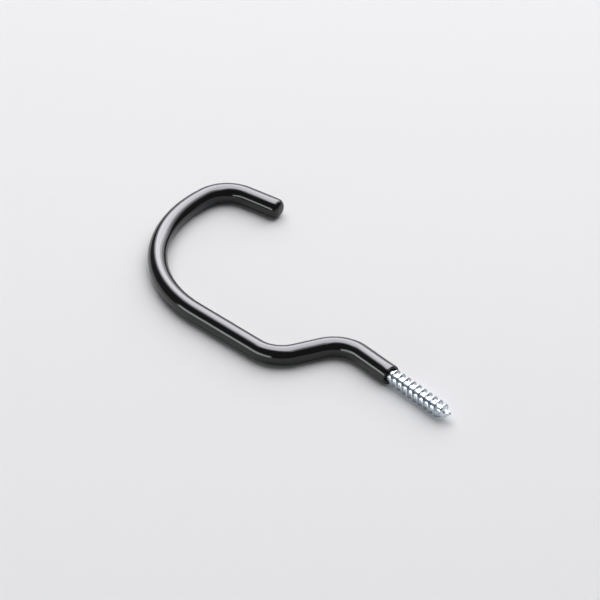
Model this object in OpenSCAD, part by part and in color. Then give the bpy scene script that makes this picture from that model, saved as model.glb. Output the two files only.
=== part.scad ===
// Bicycle storage hook: a bent steel wire with a wood-screw end, in a vinyl sleeve.
// It lies flat on its side. +X runs along the screw to its point, +Z stands off the
// plane of the bends, and the origin is on the screw's axis at the sleeve's open end.

/* [Steel wire] */
// Diameter of the wire
wire_d = 7; // [5.5:0.1:9]
// Chamfer on the wire's two cut ends
wire_chamfer = 0.6; // [0.2:0.1:1]
// How much thinner the bends are than the straights, on each side, from bending
bend_thinning = 0.03; // [0.03:0.01:0.08]

/* [Vinyl sleeve] */
// Wall of the sleeve
sleeve_wall = 1.2; // [0.8:0.1:2]
// Clearance between the sleeve and the wire, on each side
sleeve_clearance = 0.02; // [0.01:0.01:0.1]
// Thickness of the closed end beyond the wire
cap_wall = 2.4; // [1.5:0.1:4]
// Radius of the rounding on the closed end
cap_round = 3.2; // [1:0.1:3.6]
// Radius of the rounding on the open end's outer edge
lip_round = 0.3; // [0.1:0.05:0.5]

/* [Bends] */
// Straight stretch behind the screw
neck_length = 20.5; // [10:0.5:60]
// Centreline radius of the tight bends
bend_r = 16.5; // [12:0.5:24]
// Angle of the first bend, which leads out to the side
offset_angle = 69; // [40:1:80]
// Straight stretch between the two offset bends
offset_length = 13; // [5:0.5:30]
// Angle of the second bend, which turns back
return_angle = 64; // [40:1:80]
// Straight stretch that faces the mouth
shank_length = 39.5; // [20:0.5:80]
// Centreline radius of the wide bow
bow_r = 60; // [45:1:90]
// Angle of the wide bow
bow_angle = 94.5; // [80:0.5:110]
// Short straight between the bow and the last bend
crook_length = 1; // [1:0.5:15]
// Angle of the last bend, into the arm
arm_angle = 76; // [60:0.5:85]
// Straight arm, to the outside of its closed end
arm_length = 19.5; // [12:0.5:50]

/* [Screw end] */
// Length of the screw in front of the sleeve
screw_length = 39.5; // [25:0.5:60]
// Length of plain root inside the sleeve's open end
root_inset = 3; // [2:0.5:6]
// Outer diameter of the thread
thread_d = 8; // [7:0.1:10]
// Diameter of the thread's root
root_d = 5.6; // [4.5:0.1:6]
// Distance from one turn to the next
pitch = 3.6; // [2.5:0.1:5]
// Width of the thread's crest
crest_w = 0.35; // [0.2:0.05:0.6]
// Width of the thread where it meets the root
ridge_w = 1.9; // [1.2:0.1:2.3]
// Length over which the root narrows to the point
point_length = 9.5; // [5:0.5:12]
// Length over which the crest comes down to the point
crest_taper = 7.5; // [5:0.5:12]
// Diameter left at the very tip
tip_d = 0.5; // [0.3:0.1:1]
// Distance that the tip leans off the axis
point_lean = 1; // [0:0.1:1.5]
// Direction of the lean, as a turn about the axis
lean_angle = 40; // [0:5:355]
// Turn of the thread about its axis
thread_phase = 280; // [0:5:355]

/* [Hidden] */
$fn = 96;

bore_d = wire_d + 2 * sleeve_clearance;
sleeve_d = bore_d + 2 * sleeve_wall;
wire_arm = arm_length - cap_wall;

// A straight runs this far on into the thinner bend at its end.
lap = 0.1;
// The root runs this far on inside the wire, and the bore's cutter in front of the sleeve.
overrun = 1;
// Turn of a revolved surface's seam, off the seam of a bend.
seam_turn = 30;

// The centreline between the neck and the arm, from the open end on.
// A straight is [length, 0]; a bend is [radius, angle], and a plus turns left.
hook_path = [
    [bend_r, offset_angle],
    [offset_length, 0],
    [bend_r, -return_angle],
    [shank_length, 0],
    [bow_r, -bow_angle],
    [crook_length, 0],
    [bend_r, -arm_angle]
];

// Revolves a profile of [radius, height] points, with the height along +X. The seam
// turn keeps the line where the surface closes off the line where a bend's closes.
module turned() {
    rotate([seam_turn, 0, 0])
        rotate([0, 90, 0])
            rotate_extrude()
                children();
}

// The first points of a straight's profile, where it laps into the bend before it.
function lapped_start(d) = [[0, -lap], [d / 2, -lap]];

// A straight that joins a bend at both of its ends.
module straight(length, d) {
    turned()
        polygon(concat(lapped_start(d), [[d / 2, length + lap], [0, length + lap]]));
}

// A straight that joins a bend at its start and has a chamfered far end.
module chamfered_end(length, d) {
    turned()
        polygon(concat(
            lapped_start(d),
            [[d / 2, length - wire_chamfer], [d / 2 - wire_chamfer, length], [0, length]]
        ));
}

// A straight that joins a bend at its start and has a rounded far edge.
module rounded_end(length, d, edge_r) {
    flat_r = d / 2 - edge_r;
    turned() {
        polygon(concat(
            lapped_start(d),
            [[d / 2, length - edge_r], [flat_r, length - edge_r], [flat_r, length], [0, length]]
        ));
        intersection() {
            translate([flat_r, length - edge_r])
                circle(r = edge_r);
            translate([0, length - edge_r])
                square([d / 2, edge_r]);
        }
    }
}

// A straight that joins a bend at its start and is cut off square, as a bore is.
module square_end(length, d) {
    turned()
        polygon(concat(lapped_start(d), [[d / 2, length], [0, length]]));
}

// A bend to the left or, for an angle below zero, to the right.
module bend(r, angle, d) {
    translate([0, sign(angle) * r, 0])
        rotate_extrude(angle = abs(angle), start = angle > 0 ? -90 : 90 + angle)
            translate([r, 0])
                circle(d = d - 2 * bend_thinning);
}

// Moves its children to the end of a segment that starts at the origin along +X.
module after(size, angle) {
    if (angle == 0)
        translate([size, 0, 0])
            children();
    else
        translate([size * sin(abs(angle)), sign(angle) * size * (1 - cos(angle)), 0])
            rotate([0, 0, angle])
                children();
}

// The path from segment i on, with its children, the arm, at its far end.
module bends(d, i = 0) {
    if (i < len(hook_path)) {
        if (hook_path[i][1] == 0)
            straight(hook_path[i][0], d);
        else
            bend(hook_path[i][0], hook_path[i][1], d);
        after(hook_path[i][0], hook_path[i][1])
            bends(d, i + 1)
                children();
    }
    else
        children();
}

// Thread geometry: rows of profile points that follow the helix. A profile is a stretch
// of plain root and then the ridge, whose far edge is the next turn's first point.
steps = 36;
root_r = root_d / 2;
crest_r = thread_d / 2;
tip_r = tip_d / 2;
ridge_start = 0.1;
growth_length = 2.5;
first_row_x = ridge_start - (pitch - ridge_w);
profile = [
    [0, 0],
    [pitch - ridge_w, 0],
    [pitch - (ridge_w + crest_w) / 2, 1],
    [pitch - (ridge_w - crest_w) / 2, 1]
];
cols = len(profile);
last_row = floor((screw_length - tip_d - pitch - first_row_x) / pitch * steps);

function smooth(t) = let (c = min(1, max(0, t))) c * c * (3 - 2 * c);

// Share of a taper's length that lies before x, from 0 at its start to 1 at the tip.
function share(x, length) = min(1, max(0, 1 - (screw_length - x) / length));

// Radius of the root at x: plain, then a cone to the tip.
function root_at(x) = root_r + (tip_r - root_r) * share(x, point_length);

// Radius of the crest at x: full, then rounded down to the tip.
function crest_at(x) = crest_r + (tip_r - crest_r) * pow(share(x, crest_taper), 2);

// Radius of the thread at x, at a share of the ridge's height, which grows behind the sleeve.
function thread_r(x, rise) =
    let (growth = smooth((x - ridge_start) / growth_length))
    root_at(x) + max(0, crest_at(x) - root_at(x)) * rise * growth;

// Centre of the screw at x, which leans off the axis towards the tip.
function centre(x) =
    let (lean = point_lean * pow(share(x, point_length), 2))
    [x, lean * cos(lean_angle), lean * sin(lean_angle)];

function thread_point(row, col) =
    let (x = first_row_x + pitch * row / steps + profile[col][0])
    let (r = thread_r(x, profile[col][1]))
    let (a = thread_phase + 360 * row / steps)
    centre(x) + [0, r * cos(a), r * sin(a)];

// Number of a thread point; the last column of a row is the next turn's first one.
function id(row, col) = col == cols ? id(row + steps, 0)
    : row <= last_row ? row * cols + col
    : (last_row + 1) * cols + row - last_row - 1;

module threaded_end() {
    body = [for (row = [0:last_row], col = [0:cols - 1]) thread_point(row, col)];
    edge = [for (row = [last_row + 1:last_row + steps]) thread_point(row, 0)];
    base = [
        for (k = [0:steps - 1])
            let (a = thread_phase + 360 * k / steps)
            [-root_inset - overrun, root_r * cos(a), root_r * sin(a)]
    ];
    tip = [centre(screw_length)];
    base_id = len(body) + len(edge);
    tip_id = base_id + steps;

    flanks = [
        for (row = [0:last_row - 1], col = [0:cols - 1])
            each [
                [id(row, col), id(row + 1, col + 1), id(row + 1, col)],
                [id(row, col), id(row, col + 1), id(row + 1, col + 1)]
            ]
    ];
    start = [
        for (k = [0:steps - 2])
            each [
                [base_id + k, id(k + 1, 0), base_id + k + 1],
                [base_id + k, id(k, 0), id(k + 1, 0)]
            ]
    ];
    start_seam = concat(
        [[base_id + steps - 1, id(steps - 1, 0), base_id]],
        [[base_id, id(steps - 1, 0), id(0, 0)]],
        [for (col = [0:cols - 1]) [id(0, col), id(steps - 1, 0), id(0, col + 1)]]
    );
    point_seam = concat(
        [for (col = [0:cols - 1]) [id(last_row, col), id(last_row, col + 1), id(last_row + 1, 0)]],
        [[id(last_row, cols), tip_id, id(last_row + 1, 0)]]
    );
    point = [
        for (row = [last_row + 1:last_row + steps - 1])
            [id(row, 0), tip_id, id(row + 1, 0)]
    ];
    base_face = [[for (k = [0:steps - 1]) base_id + k]];
    polyhedron(
        points = concat(body, edge, base, tip),
        faces = concat(flanks, start, start_seam, point_seam, point, base_face)
    );
}

// The hook's shape leaves the sleeve's open end in the direction away from the screw.
module away_from_screw() {
    rotate([0, 0, 180])
        after(neck_length, 0)
            children();
}

module steel_hook() {
    color("gainsboro") {
        threaded_end();
        translate([-neck_length, 0, 0])
            chamfered_end(neck_length - root_inset, wire_d);
        away_from_screw()
            bends(wire_d)
                chamfered_end(wire_arm, wire_d);
    }
}

module vinyl_sleeve() {
    color("black")
        difference() {
            union() {
                translate([-neck_length, 0, 0])
                    rounded_end(neck_length, sleeve_d, lip_round);
                away_from_screw()
                    bends(sleeve_d)
                        rounded_end(arm_length, sleeve_d, cap_round);
            }
            translate([-neck_length, 0, 0])
                square_end(neck_length + overrun, bore_d);
            away_from_screw()
                bends(bore_d)
                    square_end(wire_arm + sleeve_clearance, bore_d);
        }
}

steel_hook();
vinyl_sleeve();
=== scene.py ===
from math import atan2, cos, hypot, pi, radians, sin

import bpy
from mathutils import Matrix, Vector


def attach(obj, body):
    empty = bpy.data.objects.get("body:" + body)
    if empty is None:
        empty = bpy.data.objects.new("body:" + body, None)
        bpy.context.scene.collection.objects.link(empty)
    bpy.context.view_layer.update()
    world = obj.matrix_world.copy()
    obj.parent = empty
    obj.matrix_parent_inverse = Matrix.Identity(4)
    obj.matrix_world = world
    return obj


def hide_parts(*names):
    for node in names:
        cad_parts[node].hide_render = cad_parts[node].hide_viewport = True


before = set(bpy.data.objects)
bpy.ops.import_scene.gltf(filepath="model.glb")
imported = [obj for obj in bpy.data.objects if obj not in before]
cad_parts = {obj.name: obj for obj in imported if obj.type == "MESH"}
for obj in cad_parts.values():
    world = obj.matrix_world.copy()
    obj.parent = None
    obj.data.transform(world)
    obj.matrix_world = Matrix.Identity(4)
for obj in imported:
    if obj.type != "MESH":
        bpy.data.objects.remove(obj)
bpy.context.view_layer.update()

# Vinyl sleeve.
# One length of glossy black vinyl tube, pushed over the wire, whose bends it follows. It is cut
# off square at the screw, where its wall shows, and closed with a rounded end on the arm.
MM = 0.001
sleeve_r = 4.71 * MM
sleeve_wall = 1.2 * MM
lip_round = 0.3 * MM
lip_steps = 4
neck_length = 20.5 * MM
bend_r = 16.5 * MM
arm_length = 19.5 * MM
cap_round = 3.2 * MM
cap_steps = 10
sleeve_crease = radians(35)
shaped_part = [
    ("bend", bend_r, 69),
    ("straight", 13 * MM, 0),
    ("bend", bend_r, -64),
    ("straight", 39.5 * MM, 0),
    ("bend", 60 * MM, -94.5),
    ("straight", 1 * MM, 0),
    ("bend", bend_r, -76),
]

# How finely a tube is drawn, with the steps of its bends in degrees.
tube_sides = 96
longest_cut = 4 * MM
bend_step = 2

# How near counts as in a plane, as on a ring (in radii of the tube), as equally far off the
# axis, and as one vertex.
in_plane = 0.005 * MM
on_ring = 1.5
equally_far = 0.1 * MM
one_vertex = 0.001 * MM


def heading(angle):
    """Direction at an angle from the screw's, in the plane of the bends."""
    return Vector((cos(angle), sin(angle), 0))


def select_ring(piece, place, direction, radius):
    """Selects the ring of a tube of this radius that stands at a place, across the direction."""
    bpy.ops.mesh.select_all(action="DESELECT")
    bpy.ops.object.mode_set(mode="OBJECT")
    for v in piece.data.vertices:
        away = v.co - place
        v.select = abs(away.dot(direction)) < in_plane and away.length < on_ring * radius
    bpy.ops.object.mode_set(mode="EDIT")


def draw_on(move, size=1, centre=(0, 0, 0)):
    """Draws the selected ring on by a move, and scales the new ring about a centre."""
    bpy.ops.mesh.extrude_region_move(TRANSFORM_OT_translate={"value": move})
    if size != 1:
        bpy.ops.transform.resize(value=(size, size, size), center_override=centre)


def bent_tube(name, radius, path, start):
    """Draws a tube from a circle: pulled out along the straights and spun round the bends."""
    bpy.ops.object.select_all(action="DESELECT")
    bpy.ops.mesh.primitive_circle_add(
        vertices=tube_sides, radius=radius, location=start, rotation=(0, radians(90), 0)
    )
    tube = bpy.context.object
    tube.name = name
    bpy.ops.object.transform_apply(location=True, rotation=True, scale=True)
    bpy.ops.object.mode_set(mode="EDIT")
    bpy.ops.mesh.select_mode(type="VERT")
    place = Vector(start)
    angle = pi
    for kind, size, turn in path:
        select_ring(tube, place, heading(angle), radius)
        if kind == "straight":
            cuts = max(1, round(size / longest_cut))
            for _ in range(cuts):
                draw_on(heading(angle) * size / cuts)
            place = place + heading(angle) * size
        else:
            side = 1 if turn > 0 else -1
            centre = place + heading(angle + side * pi / 2) * size
            steps = round(abs(turn) / bend_step)
            # Without a window, spin turns the other way round.
            bpy.ops.mesh.spin(steps=steps, angle=-radians(turn), center=centre, axis=(0, 0, 1))
            place = centre + Matrix.Rotation(radians(turn), 3, "Z") @ (place - centre)
            angle += radians(turn)
    select_ring(tube, place, heading(angle), radius)
    return tube, place, angle


def close_face():
    """Closes the selected ring with a fan of triangles."""
    bpy.ops.mesh.edge_face_add()
    bpy.ops.mesh.poke()


def finish_drawing():
    """Merges the doubles of the piece being drawn, turns its faces outwards and puts it down."""
    bpy.ops.mesh.select_all(action="SELECT")
    bpy.ops.mesh.remove_doubles(threshold=one_vertex)
    bpy.ops.mesh.normals_make_consistent(inside=False)
    bpy.ops.mesh.select_all(action="DESELECT")
    bpy.ops.object.mode_set(mode="OBJECT")


sleeve_path = [
    ("straight", neck_length, 0),
    *shaped_part,
    ("straight", arm_length - cap_round, 0),
]
sleeve, place, angle = bent_tube("sleeve", sleeve_r, sleeve_path, (0, 0, 0))
reached = 0
ring_r = sleeve_r
for step in range(1, cap_steps + 1):
    slope = radians(90 * step / cap_steps)
    next_reach = cap_round * sin(slope)
    next_r = sleeve_r - cap_round * (1 - cos(slope))
    draw_on(
        heading(angle) * (next_reach - reached),
        size=next_r / ring_r,
        centre=place + heading(angle) * next_reach,
    )
    reached, ring_r = next_reach, next_r
close_face()
finish_drawing()
bpy.context.tool_settings.mesh_select_mode = (False, True, False)
wall = sleeve.modifiers.new("wall", "SOLIDIFY")
wall.thickness = sleeve_wall
wall.offset = -1
wall.use_even_offset = True
wall.use_rim = True
bpy.ops.object.modifier_apply(modifier=wall.name)


def off_axis(v):
    """Distance of a vertex from the screw's axis."""
    return hypot(v.co.y, v.co.z)


for edge in sleeve.data.edges:
    near, far = (sleeve.data.vertices[i] for i in edge.vertices)
    at_lip = abs(near.co.x) < in_plane and abs(far.co.x) < in_plane
    edge.select = at_lip and abs(off_axis(near) - off_axis(far)) < equally_far
bpy.ops.object.mode_set(mode="EDIT")
bpy.ops.mesh.bevel(offset=lip_round, segments=lip_steps, affect="EDGES")
bpy.ops.mesh.select_mode(type="VERT")
bpy.ops.mesh.select_all(action="DESELECT")
bpy.ops.object.mode_set(mode="OBJECT")
bpy.ops.object.shade_smooth_by_angle(angle=sleeve_crease)

# Fine grain, shared by both finishes: small, soft unevenness in height and roughness.
grain = bpy.data.node_groups.new("fine_grain", "ShaderNodeTree")
for name, kind, way in [
    ("Vector", "NodeSocketVector", "INPUT"),
    ("Grains per metre", "NodeSocketFloat", "INPUT"),
    ("Mean roughness", "NodeSocketFloat", "INPUT"),
    ("Unevenness", "NodeSocketFloat", "INPUT"),
    ("Height", "NodeSocketFloat", "OUTPUT"),
    ("Roughness", "NodeSocketFloat", "OUTPUT"),
]:
    grain.interface.new_socket(name=name, in_out=way, socket_type=kind)
inside = grain.nodes.new("NodeGroupInput")
outside = grain.nodes.new("NodeGroupOutput")
fine = grain.nodes.new("ShaderNodeTexNoise")
fine.inputs["Detail"].default_value = 4
broad = grain.nodes.new("ShaderNodeTexNoise")
broad.inputs["Scale"].default_value = 90
broad.inputs["Detail"].default_value = 3
noise_middle = 0.5
centred = grain.nodes.new("ShaderNodeMath")
centred.operation = "SUBTRACT"
centred.inputs[1].default_value = noise_middle
spread = grain.nodes.new("ShaderNodeMath")
spread.operation = "MULTIPLY_ADD"
grain.links.new(inside.outputs["Vector"], fine.inputs["Vector"])
grain.links.new(inside.outputs["Vector"], broad.inputs["Vector"])
grain.links.new(inside.outputs["Grains per metre"], fine.inputs["Scale"])
grain.links.new(broad.outputs["Fac"], centred.inputs[0])
grain.links.new(centred.outputs[0], spread.inputs[0])
grain.links.new(inside.outputs["Unevenness"], spread.inputs[1])
grain.links.new(inside.outputs["Mean roughness"], spread.inputs[2])
grain.links.new(fine.outputs["Fac"], outside.inputs["Height"])
grain.links.new(spread.outputs[0], outside.inputs["Roughness"])


def new_finish(name, values):
    """Makes a finish with these plain values on its shader."""
    finish = bpy.data.materials.new(name)
    finish.use_nodes = True
    shader = finish.node_tree.nodes["Principled BSDF"]
    for socket, value in values.items():
        shader.inputs[socket].default_value = value
    return finish


def add_grain(finish, values, strength, height):
    """Gives a finish the grain in its roughness and bump; returns the places it reads."""
    nodes, links = finish.node_tree.nodes, finish.node_tree.links
    shader = nodes["Principled BSDF"]
    where = nodes.new("ShaderNodeTexCoord")
    own_grain = nodes.new("ShaderNodeGroup")
    own_grain.node_tree = grain
    for socket, value in values.items():
        own_grain.inputs[socket].default_value = value
    bump = nodes.new("ShaderNodeBump")
    bump.inputs["Strength"].default_value = strength
    bump.inputs["Distance"].default_value = height
    links.new(where.outputs["Object"], own_grain.inputs["Vector"])
    links.new(own_grain.outputs["Roughness"], shader.inputs["Roughness"])
    links.new(own_grain.outputs["Height"], bump.inputs["Height"])
    links.new(bump.outputs["Normal"], shader.inputs["Normal"])
    return where.outputs["Object"]


vinyl = new_finish("black_vinyl", {"Base Color": (0.0045, 0.0045, 0.005, 1), "IOR": 1.5})
peel = {"Grains per metre": 420, "Mean roughness": 0.12, "Unevenness": 0.12}
add_grain(vinyl, peel, strength=0.25, height=0.02 * MM)
sleeve.data.materials.append(vinyl)
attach(sleeve, "root")
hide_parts("vinyl_sleeve")

# Steel hook.
# One bright zinc-plated steel wire, bent cold. It runs through the sleeve to just short of the
# closed end, and its bare end is rolled into a right-hand wood-screw thread with a gimlet point.
wire_r = 3.5 * MM
wire_chamfer = 0.6 * MM
cap_wall = 2.4 * MM
root_inset = 3 * MM
screw_length = 39.5 * MM
root_r = 2.8 * MM
crest_r = 4 * MM
pitch = 3.6 * MM
crest_w = 0.35 * MM
ridge_w = 1.9 * MM
flank_softness = 0.5
ridge_start = 0.1 * MM
growth_length = 2.5 * MM
point_length = 9.5 * MM
crest_taper = 7.5 * MM
tip_r = 0.25 * MM
point_lean = 1 * MM
lean_angle = radians(40)
thread_phase = radians(280)
thread_crease = radians(50)
ring_step = 0.1 * MM
wire_path = [
    ("straight", neck_length - root_inset - wire_chamfer, 0),
    *shaped_part,
    ("straight", arm_length - cap_wall - wire_chamfer, 0),
]
shoulder = Vector((-root_inset - wire_chamfer, 0, 0))
hook, place, angle = bent_tube("hook", wire_r, wire_path, shoulder)
end_size = 1 - wire_chamfer / wire_r
end_centre = place + heading(angle) * wire_chamfer
draw_on(heading(angle) * wire_chamfer, size=end_size, centre=end_centre)
close_face()
select_ring(hook, shoulder, heading(0), wire_r)
draw_on(heading(0) * wire_chamfer, size=end_size, centre=(-root_inset, 0, 0))
for _ in range(round((root_inset + screw_length) / ring_step)):
    draw_on(heading(0) * ring_step)
close_face()


def smooth(t):
    """Rises from 0 at 0 to 1 at 1, level at both."""
    t = min(1, max(0, t))
    return t * t * (3 - 2 * t)


def taper(x, length):
    """Share of a taper that lies before x, from 0 at its start to 1 at the screw's tip."""
    return min(1, max(0, 1 - (screw_length - x) / length))


def thread_r(x, around):
    """Radius of the rolled screw at a place along it and an angle around it."""
    root = root_r + (tip_r - root_r) * taper(x, point_length)
    crest = crest_r + (tip_r - crest_r) * taper(x, crest_taper) ** 2
    turn = (around - thread_phase) / (2 * pi)
    past_crest = x - ridge_start - ridge_w / 2 - pitch * turn
    off_crest = abs((past_crest + pitch / 2) % pitch - pitch / 2)
    rise = min(1, max(0, (ridge_w / 2 - off_crest) / ((ridge_w - crest_w) / 2)))
    height = max(0, crest - root) * smooth((x - ridge_start) / growth_length)
    return root + height * ((1 - flank_softness) * rise + flank_softness * smooth(rise))


bpy.ops.object.mode_set(mode="OBJECT")
for v in hook.data.vertices:
    if v.co.x > -root_inset + ring_step / 2:
        around = atan2(v.co.z, v.co.y)
        radius = thread_r(v.co.x, around)
        lean = point_lean * taper(v.co.x, point_length) ** 2
        if off_axis(v) < tip_r:
            radius = 0
        v.co.y = radius * cos(around) + lean * cos(lean_angle)
        v.co.z = radius * sin(around) + lean * sin(lean_angle)
bpy.ops.object.mode_set(mode="EDIT")
finish_drawing()
bpy.ops.object.shade_smooth_by_angle(angle=thread_crease)

zinc = new_finish("bright_zinc", {"Metallic": 1})
plating = {"Grains per metre": 2600, "Mean roughness": 0.24, "Unevenness": 0.25}
where = add_grain(zinc, plating, strength=0.3, height=0.03 * MM)
nodes, links = zinc.node_tree.nodes, zinc.node_tree.links
# Painted shade: by distance from the axis, the flanks and, less so, the crests are coloured
# darker than the root, standing in for the shade that falls on the thread.
axes = nodes.new("ShaderNodeSeparateXYZ")
flat = nodes.new("ShaderNodeCombineXYZ")
from_axis = nodes.new("ShaderNodeVectorMath")
from_axis.operation = "LENGTH"
depth = nodes.new("ShaderNodeMapRange")
depth.inputs["From Min"].default_value = root_r
depth.inputs["From Max"].default_value = crest_r
# A colour ramp of painted shade: plain zinc at the root, darker colours on the flanks and
# crests.
thread_shade_tint = nodes.new("ShaderNodeValToRGB")
unshaded_root_stop, shaded_crest_stop = thread_shade_tint.color_ramp.elements
unshaded_root_stop.position = 0.08
unshaded_root_stop.color = (0.66, 0.71, 0.76, 1)
shaded_crest_stop.color = (0.52, 0.52, 0.58, 1)
# The darkest stops paint the shade on the thread's flanks.
for rise, shaded_flank_colour in [(0.3, (0.34, 0.40, 0.43, 1)), (0.8, (0.40, 0.43, 0.47, 1))]:
    thread_shade_tint.color_ramp.elements.new(rise).color = shaded_flank_colour
links.new(where, axes.inputs[0])
links.new(axes.outputs["Y"], flat.inputs["Y"])
links.new(axes.outputs["Z"], flat.inputs["Z"])
links.new(flat.outputs[0], from_axis.inputs[0])
links.new(from_axis.outputs["Value"], depth.inputs["Value"])
links.new(depth.outputs["Result"], thread_shade_tint.inputs["Fac"])
links.new(thread_shade_tint.outputs["Color"], nodes["Principled BSDF"].inputs["Base Color"])
hook.data.materials.append(zinc)
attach(hook, "root")
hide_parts("steel_hook")

# Floor.
# A plain pale sheet under the hook, large enough to fill the view from every side. It is matt
# and takes the hook's soft shadow.
floor_side = 14
bpy.ops.object.select_all(action="DESELECT")
bpy.ops.mesh.primitive_plane_add(size=floor_side, location=(0, 0, -sleeve_r))
floor = bpy.context.object
floor.name = "floor"
bpy.ops.object.transform_apply(location=True, rotation=True, scale=True)
matt = {"Base Color": (0.85, 0.85, 0.85, 1), "Roughness": 0.9, "Specular IOR Level": 0.1}
pale = new_finish("pale_floor", matt)
floor.data.materials.append(pale)

# Camera.
# It looks down at the hook from the screw's left, with the long lens of the photograph. The
# middle of its picture lies to the left of the sleeve's open end and above it.
view_heading = radians(139)
view_down = radians(37.41)
view_distance = 2500 * MM
middle_left = 41.27 * MM
middle_up = 34.10 * MM
picture_side = 600
pixels_per_metre = 2.2074 / MM
away = heading(view_heading)
across = heading(view_heading - pi / 2)
upward = Vector((0, 0, 1))
look = away * cos(view_down) - upward * sin(view_down)
above = away * sin(view_down) + upward * cos(view_down)
stand = -look * view_distance - across * middle_left + above * middle_up
eye = bpy.data.cameras.new("camera")
eye.sensor_width = 36
eye.lens = pixels_per_metre * view_distance / picture_side * eye.sensor_width
eye.clip_start = 0.05
camera = bpy.data.objects.new("camera", eye)


def hang(thing, place, right, top, back):
    """Hangs a camera or lamp at a place, with its right side, top and back facing these ways."""
    turn = Matrix((right, top, back)).transposed().to_4x4()
    thing.matrix_world = Matrix.Translation(place) @ turn
    bpy.context.scene.collection.objects.link(thing)


hang(camera, stand, across, above, -look)
bpy.context.scene.camera = camera

# Lamps.
# A large softbox leans over the hook from behind, and a greener panel stands low at its left.
# The smaller lamps behind their cloths stand for their tubes, and show in gloss alone.
middle = Vector((-62 * MM, 4 * MM, 0))


def panel(name, distance, facing, sides, brightness, colour, gloss_only=True):
    """Hangs an even flat lamp at a distance from the hook; a brightness of 1 is white.

    facing is its azimuth to the right of the camera's view, its height and its roll, in
    degrees, and sides is how far it reaches left, right, down and up, in parts of its distance.
    """
    lamp = bpy.data.lights.new(name, "AREA")
    left, right, down, up = (part * distance for part in sides)
    lamp.shape = "RECTANGLE"
    lamp.size = left + right
    lamp.size_y = down + up
    lamp.energy = brightness * pi * lamp.size * lamp.size_y
    lamp.color = colour
    azimuth, elevation, roll = (radians(part) for part in facing)
    level = heading(view_heading - azimuth)
    back = level * cos(elevation) + upward * sin(elevation)
    turned = Matrix.Rotation(roll, 3, back)
    side = turned @ level.cross(upward)
    top = side.cross(back)
    place = middle + back * distance + side * (right - left) / 2 + top * (up - down) / 2
    holder = bpy.data.objects.new(name, lamp)
    holder.visible_diffuse = not gloss_only
    hang(holder, place, -side, top, back)


over = (33, 46, 8)
cloth_white = (0.98, 0.975, 1.0)
lavender = (0.94, 0.925, 1.0)
panel("softbox", 2.0, over, (1.29, 0.54, 0.76, 1.4), 2.0, cloth_white, gloss_only=False)
panel("softbox_tubes", 2.1, over, (1.02, 0.27, 0.46, 1.14), 3.5, lavender)
panel("softbox_core", 2.2, over, (0.84, 0.09, 0.27, 0.96), 5.8, lavender)
low = (-122, 0, 0)
green_white = (0.93, 1.0, 0.97)
panel("low_panel", 1.5, low, (0.64, 0.64, 0, 0.38), 0.8, green_white, gloss_only=False)
panel("low_tubes", 1.6, low, (0.62, 0.62, 0, 0.29), 4.4, green_white)
world = bpy.data.worlds.new("dark_studio")
world.use_nodes = True
world.node_tree.nodes["Background"].inputs["Color"].default_value = (0.12, 0.12, 0.125, 1)
bpy.context.scene.world = world
bpy.context.scene.view_settings.view_transform = "Standard"
